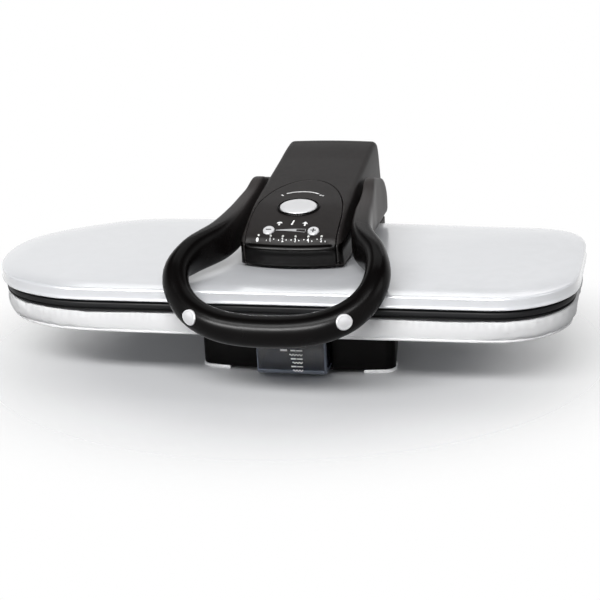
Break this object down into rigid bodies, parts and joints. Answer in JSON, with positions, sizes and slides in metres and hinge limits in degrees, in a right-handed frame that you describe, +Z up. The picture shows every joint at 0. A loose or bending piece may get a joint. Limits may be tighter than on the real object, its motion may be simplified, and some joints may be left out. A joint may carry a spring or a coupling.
{
  "type": "steam ironing press",
  "caption": "Table-top steam ironing press with a padded board, a hinged heated shoe, a loop handle and a pull-out water tank.",
  "frame": {"origin": "on the table, under the middle of the press's box", "axes": "+X along the board towards its square end, +Y back towards the hinge, +Z up"},
  "size_m": [0.652, 0.397, 0.201],
  "materials": {
    "white_enamel": "gloss",
    "dark_band": "satin",
    "aluminium_plate": "satin",
    "steel": "satin",
    "insulation": "matt",
    "white_cloth": "matt",
    "housing_charcoal": "satin",
    "panel_black": "gloss",
    "handle_black": "gloss",
    "base_black": "satin",
    "pale_grey": "gloss",
    "button_silver": "satin",
    "lamp_clear": "gloss",
    "tank_smoke": "gloss",
    "black_rubber": "matt",
    "pump_grey": "matt",
    "silicone_hose": "satin",
    "circuit_green": "satin"
  },
  "bodies": {
    "base": {"base_shell": "base_black", "base_bottom": "base_black", "base_screw_1": "steel", "base_screw_2": "steel", "base_screw_3": "steel", "base_screw_4": "steel", "foot_front_left": "pale_grey", "foot_front_right": "pale_grey", "foot_rear_left": "black_rubber", "foot_rear_right": "black_rubber", "tank_bay": "base_black", "water_pump": "pump_grey", "pump_hose": "silicone_hose", "power_board": "circuit_green", "cord_gland": "black_rubber", "board_support_front": "base_black", "board_support_rear": "base_black", "board_tray": "steel", "board_pad": "white_cloth", "rear_tower": "housing_charcoal", "hinge_bracket": "steel", "hinge_pin": "steel", "hinge_spring_left": "steel", "hinge_spring_right": "steel"},
    "tank": {"water_tank": "tank_smoke", "tank_lid": "tank_smoke", "filler_cap": "black_rubber", "tank_valve": "black_rubber"},
    "arm": {"shoe_rim": "dark_band", "heating_plate": "aluminium_plate", "heating_element": "steel", "steam_chamber": "aluminium_plate", "thermostat": "steel", "insulation_mat": "insulation", "shoe_cover": "white_enamel", "shoe_hanger": "steel", "hanger_bolt_front": "steel", "hanger_bolt_rear": "steel", "arm_frame": "steel", "arm_housing": "housing_charcoal", "control_panel": "panel_black", "arm_underpan": "housing_charcoal", "indicator_strip": "lamp_clear", "control_board": "circuit_green", "steam_hose": "silicone_hose", "detent_leaf": "steel"},
    "handle": {"handle_loop": "handle_black", "handle_shaft": "steel", "handle_cam": "steel"},
    "power_button": {"power_button": "button_silver"},
    "minus_button": {"minus_button": "button_silver"},
    "plus_button": {"plus_button": "button_silver"},
    "steam_button_left": {"steam_button_left": "button_silver"},
    "steam_button_right": {"steam_button_right": "button_silver"}
  },
  "joints": [
    {"name": "arm_hinge", "type": "hinge", "parent": "base", "child": "arm", "pos_m": [0.0196, 0.1635, 0.128], "axis": [-1, 0, 0], "range_deg": [0, 45]},
    {"name": "handle_lift", "type": "hinge", "parent": "arm", "child": "handle", "pos_m": [0.0196, 0.1135, 0.147], "axis": [-1, 0, 0], "range_deg": [0, 22]},
    {"name": "tank_slide", "type": "slide", "parent": "base", "child": "tank", "axis": [0, -1, 0], "range_m": [0, 0.11]},
    {"name": "power_button_press", "type": "slide", "parent": "arm", "child": "power_button", "axis": [0, 0.2377, -0.9713], "range_m": [0, 0.0012], "stiffness_N_per_m": 500},
    {"name": "minus_button_press", "type": "slide", "parent": "arm", "child": "minus_button", "axis": [0, 0.4252, -0.9051], "range_m": [0, 0.0012], "stiffness_N_per_m": 500},
    {"name": "plus_button_press", "type": "slide", "parent": "arm", "child": "plus_button", "axis": [0, 0.4252, -0.9051], "range_m": [0, 0.0012], "stiffness_N_per_m": 500},
    {"name": "steam_button_left_press", "type": "slide", "parent": "handle", "child": "steam_button_left", "axis": [0.4479, 0.8849, -0.1279], "range_m": [0, 0.0025], "stiffness_N_per_m": 500},
    {"name": "steam_button_right_press", "type": "slide", "parent": "handle", "child": "steam_button_right", "axis": [-0.4479, 0.8849, -0.1279], "range_m": [0, 0.0025], "stiffness_N_per_m": 500}
  ]
}
